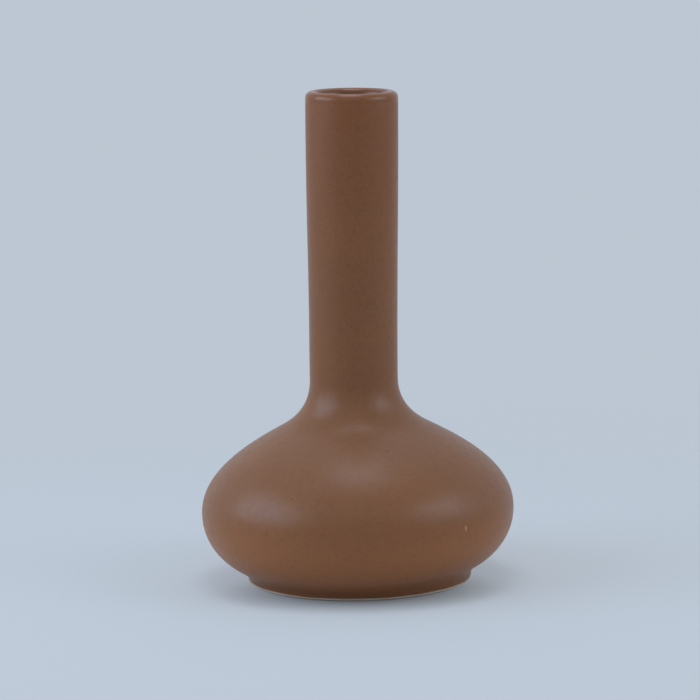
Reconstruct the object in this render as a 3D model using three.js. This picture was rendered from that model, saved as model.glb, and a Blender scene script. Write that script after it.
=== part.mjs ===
// Bottle vase for a single stem, in glazed stoneware: a squat belly, a swept shoulder and a tall neck.
// It is thrown in three sections, foot ring, body and neck, which are luted together with slip. A liner
// glaze is poured inside and an outer glaze covers the rest, down to a line just above the table.
// Millimetres, +Z up. The origin is the centre of the foot's standing face, and -Y is the front.
import * as THREE from 'three';

// Outline over the glaze, from the table to the lip
const height = 160;
const footRadius = 36.5;
const footHeight = 3.2; // the corner between the foot and the underside of the belly
const glazeLine = 1.0; // bare clay shows below this height
const notchSoftness = 1.3; // how far the glaze rounds that corner, each way
const undersideAngle = 30.3; // degrees, how steeply the belly leaves the foot
const undersideHandle = 11.9;
const bellyRadius = 51.0;
const bellyHeight = 23.2;
const bellyHandleDown = 8.1;
const bellyHandleUp = 12.8;
const shoulderRadius = 24.6; // where the belly's outward curve turns into the inward sweep of the neck
const shoulderHeight = 50.7;
const shoulderSlope = 28.4; // degrees below the horizontal
const shoulderHandleOut = 13.3;
const shoulderHandleIn = 6.35;
const neckRootRadius = 14.35;
const neckRootHeight = 66.3;
const neckRootHandle = 8.0;
const neckEaseLow = 46; // the neck swells between these two handles
const neckEaseHigh = 46;
const lipRadius = 15.0;

// Clay and glaze thicknesses
const neckWall = 3.0;
const bodyWall = 4.0;
const floorThickness = 5.0;
const outerGlazeThickness = 0.6;
const linerGlazeThickness = 0.4;
const slipThickness = 0.8;
const bondGap = 0.1; // between faces that are stuck together

// Inside of the body, over the clay
const floorRadius = 20;
const floorHandle = 15;
const cavityHandle = 8.5;

// Foot ring
const footRingWidth = 6.6; // at the seat, under the body
const footInnerTaper = 0.8; // the inner wall opens by this much towards the table
const standingEdgeInset = 1.1; // the standing face is this much narrower than the ring, on both edges
const standingEdgeRise = 0.8;

// The hand-made lean, in degrees: the foot is level, the body tips towards -X and the neck turns back
const bodyLean = 0.72;
const neckTurn = 1.5; // between the body's axis and the neck's
const neckTurnBearing = 25; // the neck's top goes towards +X, and this far round towards the back
const turnReach = 12.3; // the neck turns over this distance above and below its root

// Facets
const segments = 48;
const notchSteps = 2;
const bellySteps = 6;
const upperSteps = 7;
const sweepSteps = 5;
const neckSteps = 3;
const lipSteps = 4;
const cavitySteps = 4;
const cavityTopSteps = 5;

// Values worked out from the sizes above
const clayDepth = outerGlazeThickness + bondGap; // from the outline in to the clay
const linerDepth = clayDepth + neckWall + bondGap; // from the outline in to the liner, at the neck
const lipRound = (linerDepth + linerGlazeThickness) / 2; // a half round over the wall and its glazes
const slipHalf = slipThickness / 2;
const seatHalf = slipHalf + bondGap; // from the middle of a slip joint to the clay
const baseHeight = footHeight + seatHalf;
const floorHeight = baseHeight + floorThickness;

const point = (r, z) => new THREE.Vector2(r, z);

function step(from, length, degrees) {
  const angle = THREE.MathUtils.degToRad(degrees);
  return point(from.x + length * Math.cos(angle), from.y + length * Math.sin(angle));
}

// Points of the outline that the curves share
const footCorner = point(footRadius, footHeight);
const bellyStart = step(footCorner, notchSoftness, undersideAngle);
const equator = point(bellyRadius, bellyHeight);
const shoulder = point(shoulderRadius, shoulderHeight);
const neckRoot = point(neckRootRadius, neckRootHeight);
const lipStart = point(lipRadius, height - lipRound);

// The outline runs upwards and over the lip, so the clay always lies on its left
const footWall = new THREE.LineCurve(point(footRadius, glazeLine), step(footCorner, notchSoftness, -90));
const notch = new THREE.QuadraticBezierCurve(footWall.v2, footCorner, bellyStart);
const belly = new THREE.CubicBezierCurve(
  bellyStart,
  step(bellyStart, undersideHandle, undersideAngle),
  step(equator, bellyHandleDown, -90),
  equator,
);
const upper = new THREE.CubicBezierCurve(
  equator,
  step(equator, bellyHandleUp, 90),
  step(shoulder, shoulderHandleOut, -shoulderSlope),
  shoulder,
);
const sweep = new THREE.CubicBezierCurve(
  shoulder,
  step(shoulder, shoulderHandleIn, 180 - shoulderSlope),
  step(neckRoot, neckRootHandle, -90),
  neckRoot,
);
const neck = new THREE.CubicBezierCurve(
  neckRoot,
  step(neckRoot, neckEaseLow, 90),
  step(lipStart, neckEaseHigh, -90),
  lipStart,
);
const lip = new THREE.EllipseCurve(lipRadius - lipRound, lipStart.y, lipRound, lipRound, 0, Math.PI);

// Clay surface of the hollow, from the flat of the floor up to the widest place
const cavityEquator = point(bellyRadius - clayDepth - bodyWall, bellyHeight);
const cavity = new THREE.CubicBezierCurve(
  point(floorRadius, floorHeight),
  point(floorRadius + floorHandle, floorHeight),
  step(cavityEquator, cavityHandle, -90),
  cavityEquator,
);

// Points that lie depthAt(u) to the left of a curve, without its first point
function trace(curve, steps, depthAt) {
  return Array.from({ length: steps }, (_, i) => {
    const u = (i + 1) / steps;
    const along = curve.getTangent(u);
    const inwards = point(-along.y, along.x);
    return curve.getPoint(u).addScaledVector(inwards, depthAt(u));
  });
}

const even = (depth) => () => depth;
// The wall thins from the body's to the neck's along the sweep
const thinning = (extra) => (u) => clayDepth + THREE.MathUtils.lerp(bodyWall, neckWall, u) + extra;

// A point of the seat between body and neck, at a depth under the outline and a distance up the slope
function seat(depth, upSlope) {
  const along = upper.getTangent(1);
  const inwards = point(-along.y, along.x);
  return shoulder.clone().addScaledVector(inwards, depth).addScaledVector(along, upSlope);
}

const smooth = (u) => THREE.MathUtils.smoothstep(u, 0, 1);
// The area under smooth() from 0 to u
function smoothArea(u) {
  if (u <= 0) return 0;
  return u < 1 ? u ** 3 - u ** 4 / 2 : u - 0.5;
}

// Tips each level of a geometry about the vase's bent centreline
function lean(geometry) {
  const body = -THREE.MathUtils.degToRad(bodyLean);
  const turn = THREE.MathUtils.degToRad(neckTurn);
  const bearing = THREE.MathUtils.degToRad(neckTurnBearing);
  const footReach = footHeight - glazeLine;
  const neckReach = 2 * turnReach;
  const place = geometry.getAttribute('position');
  for (let i = 0; i < place.count; i += 1) {
    const [x, y, z] = [place.getX(i), place.getY(i), place.getZ(i)];
    const onFoot = (z - glazeLine) / footReach;
    const onNeck = (z - neckRootHeight + turnReach) / neckReach;
    const neckTip = turn * smooth(onNeck);
    const neckDrift = turn * neckReach * smoothArea(onNeck);
    const tipX = body * smooth(onFoot) + neckTip * Math.cos(bearing);
    const tipY = neckTip * Math.sin(bearing);
    const driftX = body * footReach * smoothArea(onFoot) + neckDrift * Math.cos(bearing);
    const driftY = neckDrift * Math.sin(bearing);
    const rise = -x * Math.sin(tipX) - y * Math.sin(tipY);
    place.setXYZ(i, driftX + x * Math.cos(tipX), driftY + y * Math.cos(tipY), z + rise);
  }
  return geometry;
}

// Turns a section in r and z about the vase's axis
function revolve(section) {
  const geometry = new THREE.LatheGeometry(section, segments);
  geometry.rotateX(Math.PI / 2);
  return lean(geometry);
}

const closed = (points) => [...points, points[0]];

function footRing() {
  const top = footHeight - seatHalf;
  const underGlaze = footRadius - clayDepth;
  const innerTop = footRadius - footRingWidth;
  const innerBottom = innerTop + footInnerTaper;
  return closed([
    point(innerTop, top),
    point(innerBottom, standingEdgeRise),
    point(innerBottom + standingEdgeInset, 0),
    point(footRadius - standingEdgeInset, 0),
    point(footRadius, standingEdgeRise),
    point(footRadius, glazeLine - bondGap),
    point(underGlaze, glazeLine),
    point(underGlaze, top),
  ]);
}

function footSlip() {
  const outside = footRadius - clayDepth;
  const inside = footRadius - footRingWidth;
  return closed([
    point(inside, footHeight - slipHalf),
    point(outside, footHeight - slipHalf),
    point(outside, footHeight + slipHalf),
    point(inside, footHeight + slipHalf),
  ]);
}

function thrownBody() {
  const inner = clayDepth + bodyWall;
  return [
    point(0, baseHeight),
    point(footRadius - clayDepth, baseHeight),
    ...trace(belly, bellySteps, even(clayDepth)),
    ...trace(upper, upperSteps, even(clayDepth)).slice(0, -1),
    seat(clayDepth, -seatHalf),
    seat(inner, -seatHalf),
    ...trace(upper, cavityTopSteps, even(inner)).slice(0, -1).reverse(),
    ...trace(cavity, cavitySteps, even(0)).reverse(),
    cavity.v0.clone(),
    point(0, floorHeight),
  ];
}

function neckSlip() {
  const inner = clayDepth + bodyWall;
  return closed([
    seat(inner, -slipHalf),
    seat(clayDepth, -slipHalf),
    seat(clayDepth, slipHalf),
    seat(inner, slipHalf),
  ]);
}

function thrownNeck() {
  const bore = clayDepth + neckWall;
  return closed([
    seat(clayDepth + bodyWall, seatHalf),
    seat(clayDepth, seatHalf),
    ...trace(sweep, sweepSteps, even(clayDepth)),
    ...trace(neck, neckSteps, even(clayDepth)),
    ...trace(lip, lipSteps, even(clayDepth)),
    ...trace(neck, neckSteps, even(bore)).slice(0, -1).reverse(),
    ...trace(sweep, sweepSteps, thinning(0)).reverse(),
  ]);
}

function outerGlaze() {
  const coat = (depth) => [
    footWall.v1.clone().sub(point(depth, 0)),
    footWall.v2.clone().sub(point(depth, 0)),
    ...trace(notch, notchSteps, even(depth)),
    ...trace(belly, bellySteps, even(depth)),
    ...trace(upper, upperSteps, even(depth)),
    ...trace(sweep, sweepSteps, even(depth)),
    ...trace(neck, neckSteps, even(depth)),
    ...trace(lip, lipSteps, even(depth)),
  ];
  return closed([...coat(0), ...coat(outerGlazeThickness).reverse()]);
}

function linerGlaze() {
  const brim = lipStart.y - bondGap;
  const coat = (depth) => [
    point(0, floorHeight + depth),
    point(floorRadius, floorHeight + depth),
    ...trace(cavity, cavitySteps, even(depth)),
    ...trace(upper, cavityTopSteps, even(clayDepth + bodyWall + depth)),
    ...trace(sweep, sweepSteps, thinning(depth)),
    ...trace(neck, neckSteps, even(clayDepth + neckWall + depth)).slice(0, -1),
    point(lipRadius - clayDepth - neckWall - depth, brim),
  ];
  return [...coat(bondGap), ...coat(bondGap + linerGlazeThickness).reverse()];
}

function piece(name, section, finish) {
  const mesh = new THREE.Mesh(revolve(section), new THREE.MeshStandardMaterial({ metalness: 0, ...finish }));
  mesh.name = name;
  return mesh;
}

const bareClay = { color: 0xd9c8aa, roughness: 0.9 };
const brownGlaze = { color: 0x7a543f, roughness: 0.5 };
const linerFinish = { color: 0x6b4733, roughness: 0.4 };

const claySections = new THREE.Group();
claySections.add(
  piece('foot_ring', footRing(), bareClay),
  piece('foot_slip_joint', footSlip(), bareClay),
  piece('body', thrownBody(), bareClay),
  piece('neck_slip_joint', neckSlip(), bareClay),
  piece('neck', thrownNeck(), bareClay),
);

const glazeCoats = new THREE.Group();
glazeCoats.add(
  piece('outer_glaze', outerGlaze(), brownGlaze),
  piece('liner_glaze', linerGlaze(), linerFinish),
);

const vase = new THREE.Group();
vase.add(claySections, glazeCoats);

export default vase;
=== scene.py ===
import math

import bpy
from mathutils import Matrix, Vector


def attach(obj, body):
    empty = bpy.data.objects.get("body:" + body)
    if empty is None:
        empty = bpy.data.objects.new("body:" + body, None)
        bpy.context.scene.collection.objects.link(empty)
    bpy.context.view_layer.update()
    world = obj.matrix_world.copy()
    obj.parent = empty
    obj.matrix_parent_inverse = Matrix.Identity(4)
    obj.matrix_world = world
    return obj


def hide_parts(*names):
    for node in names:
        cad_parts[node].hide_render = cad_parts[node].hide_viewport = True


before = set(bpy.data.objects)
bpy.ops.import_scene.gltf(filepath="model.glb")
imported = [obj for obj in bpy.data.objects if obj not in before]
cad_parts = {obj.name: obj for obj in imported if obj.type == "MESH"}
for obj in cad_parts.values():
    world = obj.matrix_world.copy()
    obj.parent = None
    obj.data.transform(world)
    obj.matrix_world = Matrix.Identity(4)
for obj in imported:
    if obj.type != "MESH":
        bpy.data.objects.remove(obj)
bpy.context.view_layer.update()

mm = 0.001
print("frame loaded:", ", ".join(sorted(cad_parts)))


# Camera at the photograph's place, in mm and degrees
cameraFit = {
    "place": (-1.82, -1250.0, 273.7),
    "tiltDown": 9.004,
    "roll": -1.08,
    "lens": 200.06,
    "sensor": 36.0,
}


def addCamera():
    fit = cameraFit
    bpy.ops.object.camera_add(location=Vector(fit["place"]) * mm)
    camera = bpy.context.object
    camera.rotation_mode = "ZXY"  # roll first, then tilt
    camera.rotation_euler = (math.radians(90 - fit["tiltDown"]), 0, math.radians(fit["roll"]))
    camera.data.sensor_width = fit["sensor"]
    camera.data.lens = fit["lens"]
    bpy.context.scene.camera = camera


# The vase's outline over the glaze, in mm and degrees, as (radius, height) about its bent centreline
vaseShape = {
    "height": 160.0,
    "footRadius": 36.5,
    "footHeight": 3.2,
    "glazeLine": 1.0,  # bare clay below this
    "notchReach": (1.85, 4.3),  # down the foot and out along the underside
    "undersideAngle": 30.3,
    "undersideHandle": 7.3,
    "belly": (51.0, 23.2),
    "bellyHandles": (8.1, 12.8),  # below and above the widest place
    "shoulder": (24.6, 50.7),
    "shoulderSlope": 28.4,
    "shoulderHandles": (13.3, 6.35),  # towards the belly and towards the neck
    "neckRoot": (14.35, 66.3),
    "neckRootHandle": 8.0,
    "neckEase": 46.0,
    "lipRadius": 15.0,
    "lipRound": 2.1,  # half the wall with its glazes
    "outerGlaze": 0.6,
    "linerGlaze": 0.4,
    "bond": 0.1,
    "neckWall": 3.0,
    "bodyWall": 4.0,
    "bodyLean": 0.72,
    "bodyLeanBearing": 180.0,  # from +X, so towards -X
    "neckTurn": 1.5,
    "neckTurnBearing": 25.0,  # from +X towards the back
    "turnReach": 12.3,
}
curveSteps = {"notch": 10, "belly": 26, "upper": 34, "sweep": 20, "neck": 44, "lip": 20, "cavity": 16}


def stepFrom(start, length, degrees):
    angle = math.radians(degrees)
    return start[0] + length * math.cos(angle), start[1] + length * math.sin(angle)


def curveThrough(controls, steps):
    # points on a Bezier curve, without its first point
    found = []
    for i in range(1, steps + 1):
        row = [Vector(control) for control in controls]
        while len(row) > 1:
            row = [a.lerp(b, i / steps) for a, b in zip(row, row[1:])]
        found.append(tuple(row[0]))
    return found


def curveBetween(start, startHandle, end, endHandle, steps):
    # a handle is its length and its direction in degrees
    controls = [start, stepFrom(start, *startHandle), stepFrom(end, *endHandle), end]
    return curveThrough(controls, steps)


def arcAround(centre, radius, start, end, steps):
    turns = [start + (end - start) * i / steps for i in range(1, steps + 1)]
    return [stepFrom(centre, radius, turn) for turn in turns]


def insetLine(points, depths):
    # moves a line to its left, which is into the clay on an upward outline
    moved = []
    for i, point in enumerate(points):
        before, after = points[max(i - 1, 0)], points[min(i + 1, len(points) - 1)]
        along = (Vector(after) - Vector(before)).normalized()
        depth = depths[i] if isinstance(depths, list) else depths
        moved.append((point[0] - along.y * depth, point[1] + along.x * depth))
    return moved


def outlineParts():
    vase, steps = vaseShape, curveSteps
    corner = (vase["footRadius"], vase["footHeight"])
    underside, slope, ease = vase["undersideAngle"], vase["shoulderSlope"], vase["neckEase"]
    notchLow = stepFrom(corner, vase["notchReach"][0], -90)
    notchHigh = stepFrom(corner, vase["notchReach"][1], underside)
    belly, shoulder, root = vase["belly"], vase["shoulder"], vase["neckRoot"]
    belowBelly, aboveBelly = vase["bellyHandles"]
    toBelly, toNeck = vase["shoulderHandles"]
    lipStart = (vase["lipRadius"], vase["height"] - vase["lipRound"])
    lipCentre = (vase["lipRadius"] - vase["lipRound"], lipStart[1])
    return {
        "notch": [notchLow] + curveThrough([notchLow, corner, notchHigh], steps["notch"]),
        "belly": curveBetween(
            notchHigh, (vase["undersideHandle"], underside), belly, (belowBelly, -90), steps["belly"],
        ),
        "upper": curveBetween(belly, (aboveBelly, 90), shoulder, (toBelly, -slope), steps["upper"]),
        "sweep": curveBetween(
            shoulder, (toNeck, 180 - slope), root, (vase["neckRootHandle"], -90), steps["sweep"],
        ),
        "neck": curveBetween(root, (ease, 90), lipStart, (ease, -90), steps["neck"]),
        "lip": arcAround(lipCentre, vase["lipRound"], 0, 180, steps["lip"]),
    }


def leanPlace(place):
    # the foot is level, the body tips towards -X and the neck turns back
    vase = vaseShape
    x, y, z = place / mm
    root, reach = vase["neckRoot"][1], vase["turnReach"]
    levels = (
        (vase["bodyLean"], vase["bodyLeanBearing"], vase["glazeLine"], vase["footHeight"]),
        (vase["neckTurn"], vase["neckTurnBearing"], root - reach, root + reach),
    )
    tip, drift = Vector((0, 0)), Vector((0, 0))
    for degrees, bearing, low, high in levels:
        share = max(0.0, (z - low) / (high - low))
        turn = Vector(stepFrom((0, 0), math.radians(degrees), bearing))
        tip += turn * (share * share * (3 - 2 * share) if share < 1 else 1.0)
        drift += turn * (high - low) * (share ** 3 - share ** 4 / 2 if share < 1 else share - 0.5)
    rise = -x * math.sin(tip.x) - y * math.sin(tip.y)
    return Vector((drift.x + x * math.cos(tip.x), drift.y + y * math.cos(tip.y), z + rise)) * mm


def leanPiece(piece):
    for vertex in piece.data.vertices:
        vertex.co = leanPlace(vertex.co)
    piece.data.update()


# Modelling helpers: one vertex is drawn out along a section and spun, as on a wheel
def spinSection(name, section, turns):
    mergeGap = 0.002 * mm
    bpy.ops.object.select_all(action="DESELECT")
    bpy.ops.mesh.primitive_plane_add(size=mm, location=(0, 0, 0))
    piece = bpy.context.object
    piece.name = piece.data.name = name
    bpy.ops.object.mode_set(mode="EDIT")
    bpy.ops.mesh.select_all(action="SELECT")
    bpy.ops.mesh.merge(type="CENTER")
    here = Vector((0, 0, 0))
    for i, (radius, height) in enumerate(section):
        there = Vector((0, -radius, height)) * mm
        if i == 0:
            bpy.ops.transform.translate(value=there - here)
        else:
            bpy.ops.mesh.extrude_region_move(TRANSFORM_OT_translate={"value": there - here})
        here = there
    bpy.ops.mesh.select_all(action="SELECT")
    bpy.ops.mesh.spin(steps=turns, angle=2 * math.pi, center=(0, 0, 0), axis=(0, 0, 1))
    bpy.ops.mesh.select_all(action="SELECT")
    bpy.ops.mesh.remove_doubles(threshold=mergeGap)
    bpy.ops.mesh.normals_make_consistent(inside=False)
    bpy.ops.object.mode_set(mode="OBJECT")
    return piece


def unevenSurface(piece, size, depth):
    # the slight unevenness that fingers leave
    texture = bpy.data.textures.new(piece.name + "Waves", "CLOUDS")
    texture.noise_scale = size * mm
    texture.noise_depth = 1
    modifier = piece.modifiers.new("waves", "DISPLACE")
    modifier.texture = texture
    modifier.texture_coords = "LOCAL"
    modifier.strength = depth * mm
    bpy.context.view_layer.objects.active = piece
    bpy.ops.object.modifier_apply(modifier="waves")


def finishPiece(piece, material, node, smoothAngle=40):
    bpy.ops.object.select_all(action="DESELECT")
    piece.select_set(True)
    bpy.context.view_layer.objects.active = piece
    bpy.ops.object.shade_smooth_by_angle(angle=math.radians(smoothAngle))
    piece.data.materials.clear()
    piece.data.materials.append(material)
    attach(piece, "root")
    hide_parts(node)
    print(piece.name, "has", len(piece.data.polygons), "faces")


# Material helpers
def newMaterial(name):
    material = bpy.data.materials.new(name)
    material.use_nodes = True
    tree = material.node_tree
    place = tree.nodes.new("ShaderNodeTexCoord").outputs["Object"]
    return material, tree, tree.nodes["Principled BSDF"], place


def addNode(tree, kind, inputs, **settings):
    node = tree.nodes.new(kind)
    for name, value in settings.items():
        setattr(node, name, value)
    for name, value in inputs.items():
        if isinstance(value, bpy.types.NodeSocket):
            tree.links.new(value, node.inputs[name])
        else:
            node.inputs[name].default_value = value
    return node


def noiseOn(tree, place, scale, detail):
    node = addNode(tree, "ShaderNodeTexNoise", {"Vector": place, "Scale": scale, "Detail": detail})
    return node.outputs["Factor"] if "Factor" in node.outputs else node.outputs["Fac"]


def fadeBetween(tree, value, low, high, start=0.0, end=1.0):
    node = addNode(tree, "ShaderNodeMapRange", {
        "Value": value, "From Min": low, "From Max": high, "To Min": start, "To Max": end,
    }, interpolation_type="SMOOTHSTEP")
    return node.outputs["Result"]


def mixColour(tree, factor, first, second):
    # the node's colour sockets are 6 and 7, and its colour comes out at 2
    node = addNode(tree, "ShaderNodeMix", {0: factor, 6: first, 7: second}, data_type="RGBA")
    return node.outputs[2]


def mixValue(tree, factor, first, second):
    # the node's number sockets are 2 and 3
    return addNode(tree, "ShaderNodeMix", {0: factor, 2: first, 3: second}).outputs[0]


def combine(tree, operation, first, second):
    return addNode(tree, "ShaderNodeMath", {0: first, 1: second}, operation=operation).outputs[0]


def combineVectors(tree, operation, *vectors):
    node = addNode(tree, "ShaderNodeVectorMath", dict(enumerate(vectors)), operation=operation)
    return node.outputs["Value" if operation in ("LENGTH", "DISTANCE") else "Vector"]


def specksOn(tree, place, cell, size, share):
    # small round specks, in some of the cells only; sizes in mm
    cells = addNode(tree, "ShaderNodeTexVoronoi", {"Vector": place, "Scale": 1 / (cell * mm)})
    spot = fadeBetween(tree, cells.outputs["Distance"], 0.5 * size / cell, 0.25 * size / cell)
    picked = addNode(tree, "ShaderNodeSeparateColor", {"Color": cells.outputs["Color"]}).outputs[0]
    return combine(tree, "MULTIPLY", spot, combine(tree, "LESS_THAN", picked, share))


def addBump(tree, shader, height, strength, depth):
    bump = addNode(tree, "ShaderNodeBump", {"Height": height, "Strength": strength, "Distance": depth * mm})
    tree.links.new(bump.outputs["Normal"], shader.inputs["Normal"])


# Brown satin glaze, with sizes in mm; a noise is its scale and detail, a bump its strength and depth
glazeLook = {
    "brown": (0.226, 0.0905, 0.0370, 1),
    # warmer brown: its own tone in the broad mottling, and painted light on the lower belly
    "warmAndLitBelow": (0.332, 0.124, 0.0450, 1),
    "deep": (0.231, 0.0730, 0.0252, 1),
    # darker brown: real pooling in the mottle and grain, and painted shade near the foot and inside the
    # mouth
    "pooledAndShaded": (0.126, 0.052, 0.024, 1),
    "thin": (0.277, 0.146, 0.073, 1),
    "speck": (0.046, 0.025, 0.015, 1),
    "bareSpot": (0.47, 0.245, 0.135, 1),
    "noises": {"broad": (30.0, 2.0), "mottle": (420.0, 5.0), "grain": (1300.0, 3.0), "peel": (300.0, 2.0)},
    "tints": (
        # what the tint follows, where it starts and is full, its share there, its colour
        ("broad", 0.40, 0.75, 0.20, "warmAndLitBelow"),
        ("broad", 0.50, 0.25, 0.20, "deep"),
        # painted light: the lower belly is lighter and warmer, partly its own tone and partly light from
        # below painted in
        ("height", 32.0, 13.0, 0.85, "warmAndLitBelow"),
        ("height", 90.0, 155.0, 0.50, "deep"),
        ("mottle", 0.50, 0.75, 0.14, "pooledAndShaded"),
        ("mottle", 0.50, 0.28, 0.08, "thin"),
        ("grain", 0.50, 0.75, 0.30, "pooledAndShaded"),
        ("grain", 0.50, 0.25, 0.12, "thin"),
        # painted shade: darker towards the foot, partly pooled glaze and partly the shade under the belly
        # painted in
        ("height", 5.0, 1.2, 0.60, "pooledAndShaded"),
    ),
    "lipHeights": (155.5, 158.5),  # where the lip's gloss starts and is full
    "mouthShade": (1.35, 1.9, 0.6),  # painted shade inside the mouth: starts and is full this far in from the crest, and its share
    "specks": ((9.0, 0.55, 0.20), (2.6, 0.26, 0.20)),  # cell, size and share of the cells
    "speckShare": 0.5,
    "darkSpots": ((-21.13, -41.53, 34.78), (9.30, -29.52, 47.19)),
    "darkSpotReach": (0.42, 0.18),  # from a spot's rim to its full tone
    "darkSpotShare": 0.7,
    "specular": 0.25,
    "roughness": (0.34, 0.40),
    "roughnessFade": (0.3, 0.7),  # over this much of the mottle
    "lipRoughness": 0.20,
    "bump": (0.10, 0.10),
    "grainBump": 0.35,
}


def paintedMouthShade(tree, place):
    # painted shade: darker just inside the mouth, below the lip's inner rounding
    vase = vaseShape
    centre = leanPlace(Vector((0, 0, vase["height"])) * mm)
    away = combineVectors(tree, "SUBTRACT", place, centre)
    flat = combineVectors(tree, "MULTIPLY", away, (1, 1, 0))
    radius = combineVectors(tree, "LENGTH", flat)
    crest = vase["lipRadius"] - vase["lipRound"]
    start, full, share = glazeLook["mouthShade"]
    return fadeBetween(tree, radius, (crest - start) * mm, (crest - full) * mm, 0, share)


def brownGlaze():
    look = glazeLook
    material, tree, shader, place = newMaterial("brownGlaze")
    fields = {name: noiseOn(tree, place, *noise) for name, noise in look["noises"].items()}
    fields["height"] = addNode(tree, "ShaderNodeSeparateXYZ", {"Vector": place}).outputs["Z"]
    colour = look["brown"]
    for field, start, full, share, tint in look["tints"]:
        unit = mm if field == "height" else 1
        cover = fadeBetween(tree, fields[field], start * unit, full * unit, 0, share)
        colour = mixColour(tree, cover, colour, look[tint])
    start, full = look["lipHeights"]
    lip = fadeBetween(tree, fields["height"], start * mm, full * mm)
    # painted shade just inside the mouth
    colour = mixColour(tree, combine(tree, "MULTIPLY", lip, paintedMouthShade(tree, place)), colour, look["pooledAndShaded"])
    for specks in look["specks"]:
        cover = combine(tree, "MULTIPLY", specksOn(tree, place, *specks), look["speckShare"])
        colour = mixColour(tree, cover, colour, look["speck"])
    rim, full = look["darkSpotReach"]
    for spot in look["darkSpots"]:
        away = combineVectors(tree, "DISTANCE", place, Vector(spot) * mm)
        cover = fadeBetween(tree, away, rim * mm, full * mm, 0, look["darkSpotShare"])
        colour = mixColour(tree, cover, colour, look["speck"])
    bare = addNode(tree, "ShaderNodeAttribute", {}, attribute_name="pinhole")
    colour = mixColour(tree, bare.outputs["Fac"], colour, look["bareSpot"])
    tree.links.new(colour, shader.inputs["Base Color"])
    rough = fadeBetween(tree, fields["mottle"], *look["roughnessFade"], *look["roughness"])
    tree.links.new(mixValue(tree, lip, rough, look["lipRoughness"]), shader.inputs["Roughness"])
    shader.inputs["Specular IOR Level"].default_value = look["specular"]
    fine = combine(tree, "MULTIPLY", fields["grain"], look["grainBump"])
    addBump(tree, shader, combine(tree, "ADD", fields["peel"], fine), *look["bump"])
    return material


# Liner glaze, a little glossier and darker
linerLook = {
    "brown": (0.127, 0.055, 0.027, 1),
    "thin": (0.170, 0.077, 0.037, 1),
    "streaks": (260.0, 4.0),
    "streakStretch": (1, 1, 0.15),  # drawn out down the wall
    "streakFade": (0.4, 0.7),
    "roughness": 0.34,
    "peel": (220.0, 2.0),
    "bump": (0.15, 0.15),
}


def linerGlaze():
    look = linerLook
    material, tree, shader, place = newMaterial("linerGlaze")
    runs = addNode(tree, "ShaderNodeMapping", {"Vector": place, "Scale": look["streakStretch"]})
    streaks = noiseOn(tree, runs.outputs["Vector"], *look["streaks"])
    colour = mixColour(tree, fadeBetween(tree, streaks, *look["streakFade"]), look["brown"], look["thin"])
    tree.links.new(colour, shader.inputs["Base Color"])
    shader.inputs["Roughness"].default_value = look["roughness"]
    addBump(tree, shader, noiseOn(tree, place, *look["peel"]), *look["bump"])
    return material


# Bare fired clay, dry and fine-grained, and the slip, which is a little darker
clayLook = {
    "cream": (0.47, 0.375, 0.275, 1),
    "buff": (0.40, 0.30, 0.205),
    "iron": (0.19, 0.125, 0.08, 1),
    "shades": {"bareClay": 1.0, "jointSlip": 0.85},  # of the buff
    "tone": (130.0, 4.0),
    "toneFade": (0.35, 0.7),
    "specks": (3.0, 0.4, 0.25),
    "roughness": 0.86,
    "grain": (2400.0, 4.0),
    "bump": (0.35, 0.12),
}


def bareClay(name):
    look = clayLook
    material, tree, shader, place = newMaterial(name)
    darker = tuple(look["shades"][name] * c for c in look["buff"]) + (1,)
    tone = noiseOn(tree, place, *look["tone"])
    colour = mixColour(tree, fadeBetween(tree, tone, *look["toneFade"]), look["cream"], darker)
    colour = mixColour(tree, specksOn(tree, place, *look["specks"]), colour, look["iron"])
    tree.links.new(colour, shader.inputs["Base Color"])
    shader.inputs["Roughness"].default_value = look["roughness"]
    addBump(tree, shader, noiseOn(tree, place, *look["grain"]), *look["bump"])
    return material


# Outer glaze coat, with its rolled lower edge and one pinhole down to the clay
glazeCoat = {
    "turns": 176,
    "insideStep": 3,  # its hidden side follows every third point of the outline
    "roll": ((1.0, 0.25), (0.8, 0.04), (0.45, -0.06), (0.12, 0.04), (0.0, 0.28)),  # shares in, mm up
    "edgeWander": 0.12,  # mm that the glaze line rises and falls
    "edgeWaves": ((3, 0.6, 1.0), (8, 2.1, 0.6), (19, 0.0, 0.35)),  # count, start and share
    "edgeReach": 0.9,  # mm above the glaze line where the wander ends
    "waves": (26.0, 0.09),  # size and depth of the unevenness
    "pinholeAngle": 42.5,  # degrees round from the front, towards +X
    "pinholeHeight": 23.2,
    "pinholeSize": (0.60, 1.15),  # half width and half height
    "pinholeDepth": 0.35,
    "pinholeReach": 2.0,  # mm round its middle that it can touch
    "pinholeBare": 1.5,  # how soon the clay shows, from rim to middle
    "pinholeMesh": (2.6, 7),  # mm round its middle that are cut finer, and the cuts
}


def addGlazeCoat(material):
    vase, coat = vaseShape, glazeCoat
    thick, line, foot = vase["outerGlaze"], vase["glazeLine"], vase["footRadius"]
    outside = [point for part in outlineParts().values() for point in part]
    clayFace = insetLine(outside, thick)
    inside = clayFace[::coat["insideStep"]] + [clayFace[-1]]
    roll = [(foot - share * thick, line + rise) for share, rise in coat["roll"]]
    section = roll + outside + inside[::-1] + [roll[0]]
    piece = spinSection("outerGlazeCoat", section, coat["turns"])
    for vertex in piece.data.vertices:
        place = vertex.co
        angle = math.atan2(place.x, -place.y)
        low = max(0.0, 1 - (place.z / mm - line) / coat["edgeReach"])
        wander = sum(share * math.sin(count * angle + start) for count, start, share in coat["edgeWaves"])
        place.z += coat["edgeWander"] * mm * min(low, 1.0) * wander
    unevenSurface(piece, *coat["waves"])
    leanPiece(piece)
    addPinhole(piece)
    finishPiece(piece, material, "outer_glaze")


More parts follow.
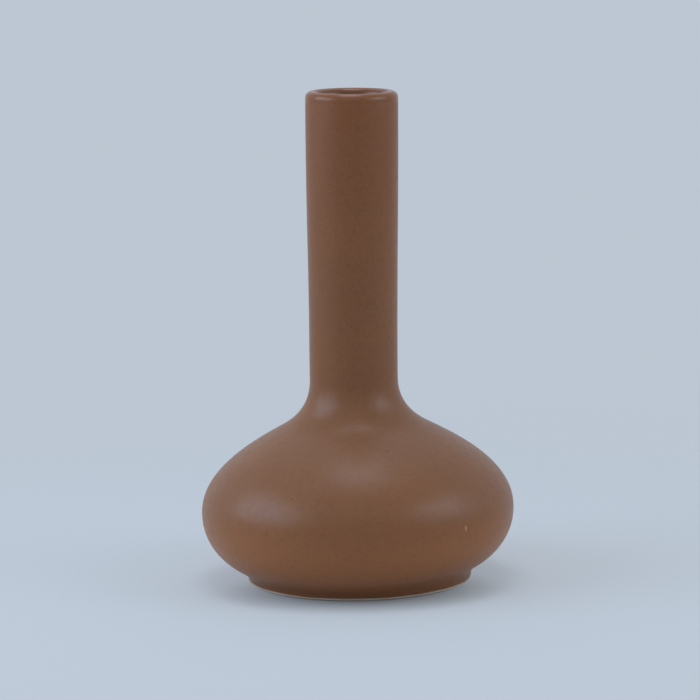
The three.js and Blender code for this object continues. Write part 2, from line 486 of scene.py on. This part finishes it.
def addPinhole(piece):
    coat = glazeCoat
    angle = math.radians(coat["pinholeAngle"])
    radius = vaseShape["belly"][0]
    onBelly = Vector((radius * math.sin(angle), -radius * math.cos(angle), coat["pinholeHeight"]))
    spot = leanPlace(onBelly * mm)
    meshReach, cuts = coat["pinholeMesh"]
    bpy.ops.object.mode_set(mode="EDIT")
    bpy.ops.mesh.select_mode(type="FACE")
    bpy.ops.mesh.select_all(action="DESELECT")
    bpy.ops.object.mode_set(mode="OBJECT")
    for face in piece.data.polygons:
        face.select = (face.center - spot).length < meshReach * mm
    bpy.ops.object.mode_set(mode="EDIT")
    bpy.ops.mesh.subdivide(number_cuts=cuts)
    bpy.ops.mesh.select_mode(type="VERT")
    bpy.ops.object.mode_set(mode="OBJECT")
    bare = piece.data.attributes.new("pinhole", "FLOAT", "POINT")
    outward = Vector((spot.x, spot.y, 0)).normalized()
    sideways = Vector((-outward.y, outward.x, 0))
    halfWidth, halfHeight = coat["pinholeSize"]
    for vertex in piece.data.vertices:
        away = vertex.co - spot
        if away.length > coat["pinholeReach"] * mm:
            continue
        across = away.dot(sideways) / (halfWidth * mm)
        up = away.z / (halfHeight * mm)
        share = max(0.0, 1 - math.hypot(across, up) ** 2)
        bare.data[vertex.index].value = min(1.0, coat["pinholeBare"] * share)
        vertex.co -= outward * coat["pinholeDepth"] * mm * math.sqrt(share)
    piece.data.update()


# Liner glaze coat in the bore and the hollow
linerCoat = {
    "turns": 128,
    "floorHeight": 8.7,
    "floorRadius": 20.0,
    "floorHandle": 15.0,
    "cavityHandle": 8.5,
    "brimGap": 0.02,  # mm that it ends below the outer glaze
}


def cavityCurve():
    vase, coat = vaseShape, linerCoat
    clay = vase["outerGlaze"] + vase["bond"]
    start = (coat["floorRadius"], coat["floorHeight"])
    widest = (vase["belly"][0] - clay - vase["bodyWall"], vase["belly"][1])
    alongFloor, downWall = (coat["floorHandle"], 0), (coat["cavityHandle"], -90)
    return [start] + curveBetween(start, alongFloor, widest, downWall, curveSteps["cavity"])


def innerClay():
    # the clay's inner face from the widest place up to the lip
    vase = vaseShape
    parts = outlineParts()
    clay = vase["outerGlaze"] + vase["bond"]
    line = parts["upper"] + parts["sweep"] + parts["neck"]
    body, sweep = len(parts["upper"]), len(parts["sweep"])
    depths = []
    for i in range(len(line)):
        share = min(1.0, max(0.0, (i - body) / sweep))
        depths.append(clay + vase["bodyWall"] + (vase["neckWall"] - vase["bodyWall"]) * share)
    return insetLine(line, depths)


def addLinerCoat(material):
    vase, coat = vaseShape, linerCoat
    claySide = cavityCurve() + innerClay()
    outer = insetLine(claySide, vase["bond"])
    inner = insetLine(claySide, vase["bond"] + vase["linerGlaze"])
    brim = vase["height"] - vase["lipRound"] - coat["brimGap"]
    outer[-1], inner[-1] = (outer[-1][0], brim), (inner[-1][0], brim)
    floor = coat["floorHeight"] + vase["bond"]
    section = [(0, floor)] + outer + inner[::-1] + [(0, floor + vase["linerGlaze"])]
    piece = spinSection("linerGlazeCoat", section, coat["turns"])
    leanPiece(piece)
    finishPiece(piece, material, "liner_glaze")


# Foot ring with rounded standing edges
footRing = {
    "turns": 160,
    "width": 6.6,
    "taper": 0.8,
    "innerBend": (0.4, 0.6),  # shares of the taper and of the height
    "standing": 4.0,  # mm in from the outside, on the table
    "bevel": (1.5, 0.40),  # inwards and up from the table
    "edgeRound": 0.15,
    "edgeSteps": 6,
    "behindGlaze": 0.04,  # mm that the bare clay lies in from the glaze's face
    "shelf": (0.10, 0.10, 0.15),  # under the glaze's edge: mm in, below and above the glaze line
    "top": 2.7,
}


def addFootRing(material):
    vase, ring = vaseShape, footRing
    line, top, edge, steps = vase["glazeLine"], ring["top"], ring["edgeRound"], ring["edgeSteps"]
    foot = vase["footRadius"] - ring["behindGlaze"]
    inwards, rise = ring["bevel"]
    shelfIn, shelfLow, shelfHigh = ring["shelf"]
    taperShare, heightShare = ring["innerBend"]
    innerTop = vase["footRadius"] - ring["width"]
    innerLow = innerTop + ring["taper"]
    underGlaze = vase["footRadius"] - vase["outerGlaze"] - vase["bond"]
    section = [(innerTop, top), (innerTop + taperShare * ring["taper"], heightShare * top)]
    section += [(innerLow, edge)] + arcAround((innerLow + edge, edge), edge, 180, 270, steps)
    section += [(vase["footRadius"] - ring["standing"], 0), (foot - inwards, 0), (foot - edge, rise)]
    section += arcAround((foot - edge, rise + edge), edge, 270, 360, steps)
    section += [(foot - shelfIn, line - shelfLow), (underGlaze, line + shelfHigh), (underGlaze, top)]
    piece = spinSection("footRing", section + [section[0]], ring["turns"])
    leanPiece(piece)
    finishPiece(piece, material, "foot_ring")


# Clay body, with turning grooves on the base inside the foot
clayBody = {
    "turns": 128,
    "base": 3.7,
    "groovePitch": 2.3,
    "grooveDepth": 0.16,
    "grooveReach": 29.0,
    "grooveSteps": 8,  # points on each groove
    "seat": 0.5,
}


def addClayBody(material):
    vase, body = vaseShape, clayBody
    parts = outlineParts()
    clay = vase["outerGlaze"] + vase["bond"]
    steps = int(body["grooveReach"] / body["groovePitch"] * body["grooveSteps"])
    base = []
    for i in range(steps + 1):
        radius = body["grooveReach"] * i / steps
        wave = 0.5 - 0.5 * math.cos(2 * math.pi * radius / body["groovePitch"])
        base.append((radius, body["base"] + body["grooveDepth"] * wave))
    outside = insetLine(parts["belly"] + parts["upper"], clay)
    inside = cavityCurve() + innerClay()[:len(parts["upper"])]
    slope = math.radians(vase["shoulderSlope"])
    back = Vector((math.cos(slope), -math.sin(slope))) * body["seat"]
    outside[-1] = tuple(Vector(outside[-1]) + back)
    inside[-1] = tuple(Vector(inside[-1]) + back)
    edge = (vase["footRadius"] - clay, body["base"])
    section = base + [edge] + outside + inside[::-1] + [(0, linerCoat["floorHeight"])]
    piece = spinSection("clayBody", section, body["turns"])
    leanPiece(piece)
    finishPiece(piece, material, "body")


# Slip that squeezed out between foot ring and body
footSlip = {
    "turns": 128,
    "low": 2.8,
    "high": 3.6,
    "bead": 0.45,  # mm that it stands out inside the foot
    "beadShoulder": (0.8, 0.15),  # share of the bead, and mm from its top and bottom
    "smoothAngle": 60,
}


def addFootSlip(material):
    vase, slip = vaseShape, footSlip
    low, high = slip["low"], slip["high"]
    share, ease = slip["beadShoulder"]
    outer = vase["footRadius"] - vase["outerGlaze"] - vase["bond"]
    inner = vase["footRadius"] - footRing["width"]
    shoulder = inner - share * slip["bead"]
    section = [(inner, low), (outer, low), (outer, high), (inner, high)]
    section += [(shoulder, high - ease), (inner - slip["bead"], (low + high) / 2), (shoulder, low + ease)]
    piece = spinSection("footSlipBead", section + [section[0]], slip["turns"])
    leanPiece(piece)
    finishPiece(piece, material, "foot_slip_joint", slip["smoothAngle"])


# Studio, in metres
studio = {
    "backdrop": (0.508, 0.571, 0.651, 1),
    "room": (0.62, 1.36),  # how brightly it lights the vase from before and behind, against the backdrop
    "roomFade": (-0.3, 0.9),  # from before to behind, where -1 and 1 are straight before and behind
    "floor": (0.316, 0.317, 0.313, 1),
    "floorRoughness": 0.9,
    "floorDrop": 0.00002,  # below the foot
    "floorSides": 128,
    "paintedFloorGlow": (0.10, 0.445),  # painted light: the floor glows under and round the vase, dimmer near the foot as a painted shadow
    "paintedShadowReach": (0.014, 0.037),
    "paintedShadowSpread": (0.72, 1.0),  # the painted shadow is wider than deep
    "paintedShadowBefore": 0.020,  # its middle lies this far before the vase
    "floorClear": (0.10, 0.40),  # the floor fades into the backdrop
}
softLights = {
    # degrees round from the front, degrees up, distance, width, height, power, colour
    "leftSoftbox": (-78, 26, 0.85, 0.80, 0.52, 4.10, "cool"),
    "leftHeart": (-78, 27, 0.85, 0.34, 0.30, 0.20, "cool"),
    "rightSoftbox": (71, 26, 0.85, 0.80, 0.52, 1.85, "plain"),
    "rightHeart": (71, 28, 0.85, 0.34, 0.30, 0.72, "plain"),
    "topSoftbox": (180, 85, 0.90, 0.36, 0.36, 1.80, "plain"),
    "backSoftbox": (180, 55, 0.95, 0.90, 0.50, 0.53, "plain"),
    "frontFill": (0, 45, 1.00, 0.50, 0.40, 0.26, "plain"),
}
lampColours = {"plain": (0.79, 0.92, 1.10), "cool": (0.75, 0.92, 1.20)}
lampTarget = (0, 0, 0.07)


def addFloor():
    bpy.ops.object.select_all(action="DESELECT")
    bpy.ops.mesh.primitive_circle_add(
        vertices=studio["floorSides"],
        radius=studio["floorClear"][1],
        fill_type="NGON",
        location=(0, 0, -studio["floorDrop"]),
    )
    floor = bpy.context.object
    floor.name = "studioFloor"
    material, tree, shader, place = newMaterial("studioFloor")
    away = combineVectors(tree, "LENGTH", place)
    shadowPatch = addNode(tree, "ShaderNodeMapping", {
        "Vector": place, "Location": (0, studio["paintedShadowBefore"], 0), "Scale": (*studio["paintedShadowSpread"], 1),
    })
    fromShadowMiddle = combineVectors(tree, "LENGTH", shadowPatch.outputs["Vector"])
    shader.inputs["Base Color"].default_value = studio["floor"]
    shader.inputs["Roughness"].default_value = studio["floorRoughness"]
    shader.inputs["Specular IOR Level"].default_value = 0.0
    shader.inputs["Emission Color"].default_value = studio["backdrop"]
    # painted light from the floor, dimmed round the foot as a painted shadow
    paintedGlow = fadeBetween(tree, fromShadowMiddle, *studio["paintedShadowReach"], *studio["paintedFloorGlow"])
    tree.links.new(paintedGlow, shader.inputs["Emission Strength"])
    clear = fadeBetween(tree, away, *studio["floorClear"])
    opening = tree.nodes.new("ShaderNodeBsdfTransparent")
    mix = addNode(tree, "ShaderNodeMixShader", {
        0: clear, 1: shader.outputs["BSDF"], 2: opening.outputs["BSDF"],
    })
    tree.links.new(mix.outputs["Shader"], tree.nodes["Material Output"].inputs["Surface"])
    floor.data.materials.append(material)


def addWorld():
    # sight and reflections meet the backdrop all round, and its light comes mostly from behind
    world = bpy.data.worlds.new("studioRoom")
    bpy.context.scene.world = world
    world.use_nodes = True
    tree = world.node_tree
    sight = tree.nodes.new("ShaderNodeTexCoord").outputs["Generated"]
    depth = addNode(tree, "ShaderNodeSeparateXYZ", {"Vector": sight}).outputs["Y"]
    level = fadeBetween(tree, depth, *studio["roomFade"], *studio["room"])
    rays = tree.nodes.new("ShaderNodeLightPath").outputs
    shown = rays["Is Camera Ray"]
    for ray in ("Is Glossy Ray", "Is Transmission Ray"):
        shown = combine(tree, "MAXIMUM", shown, rays[ray])
    background = tree.nodes["Background"]
    background.inputs["Color"].default_value = studio["backdrop"]
    tree.links.new(mixValue(tree, shown, level, 1.0), background.inputs["Strength"])


def addLights():
    target = Vector(lampTarget)
    for name, (bearing, rise, distance, width, height, power, colour) in softLights.items():
        across, up = stepFrom((0, 0), distance, rise)
        right, front = stepFrom((0, 0), across, 90 - bearing)
        place = target + Vector((right, -front, up))
        bpy.ops.object.light_add(type="AREA", location=place)
        lamp = bpy.context.object
        lamp.name = name
        lamp.data.shape = "RECTANGLE"
        lamp.data.size, lamp.data.size_y = width, height
        lamp.data.energy = power
        lamp.data.color = lampColours[colour]
        lamp.rotation_mode = "QUATERNION"
        lamp.rotation_quaternion = (target - place).to_track_quat("-Z", "Y")


addCamera()
glaze, liner = brownGlaze(), linerGlaze()
clay, slipClay = bareClay("bareClay"), bareClay("jointSlip")
print("materials made")
addGlazeCoat(glaze)
addLinerCoat(liner)
addFootRing(clay)
addClayBody(clay)
addFootSlip(slipClay)
for node, material in (("neck", clay), ("neck_slip_joint", slipClay)):
    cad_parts[node].data.materials.clear()
    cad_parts[node].data.materials.append(material)
addFloor()
addWorld()
addLights()
bpy.context.scene.view_settings.view_transform = "Standard"
print("studio ready")
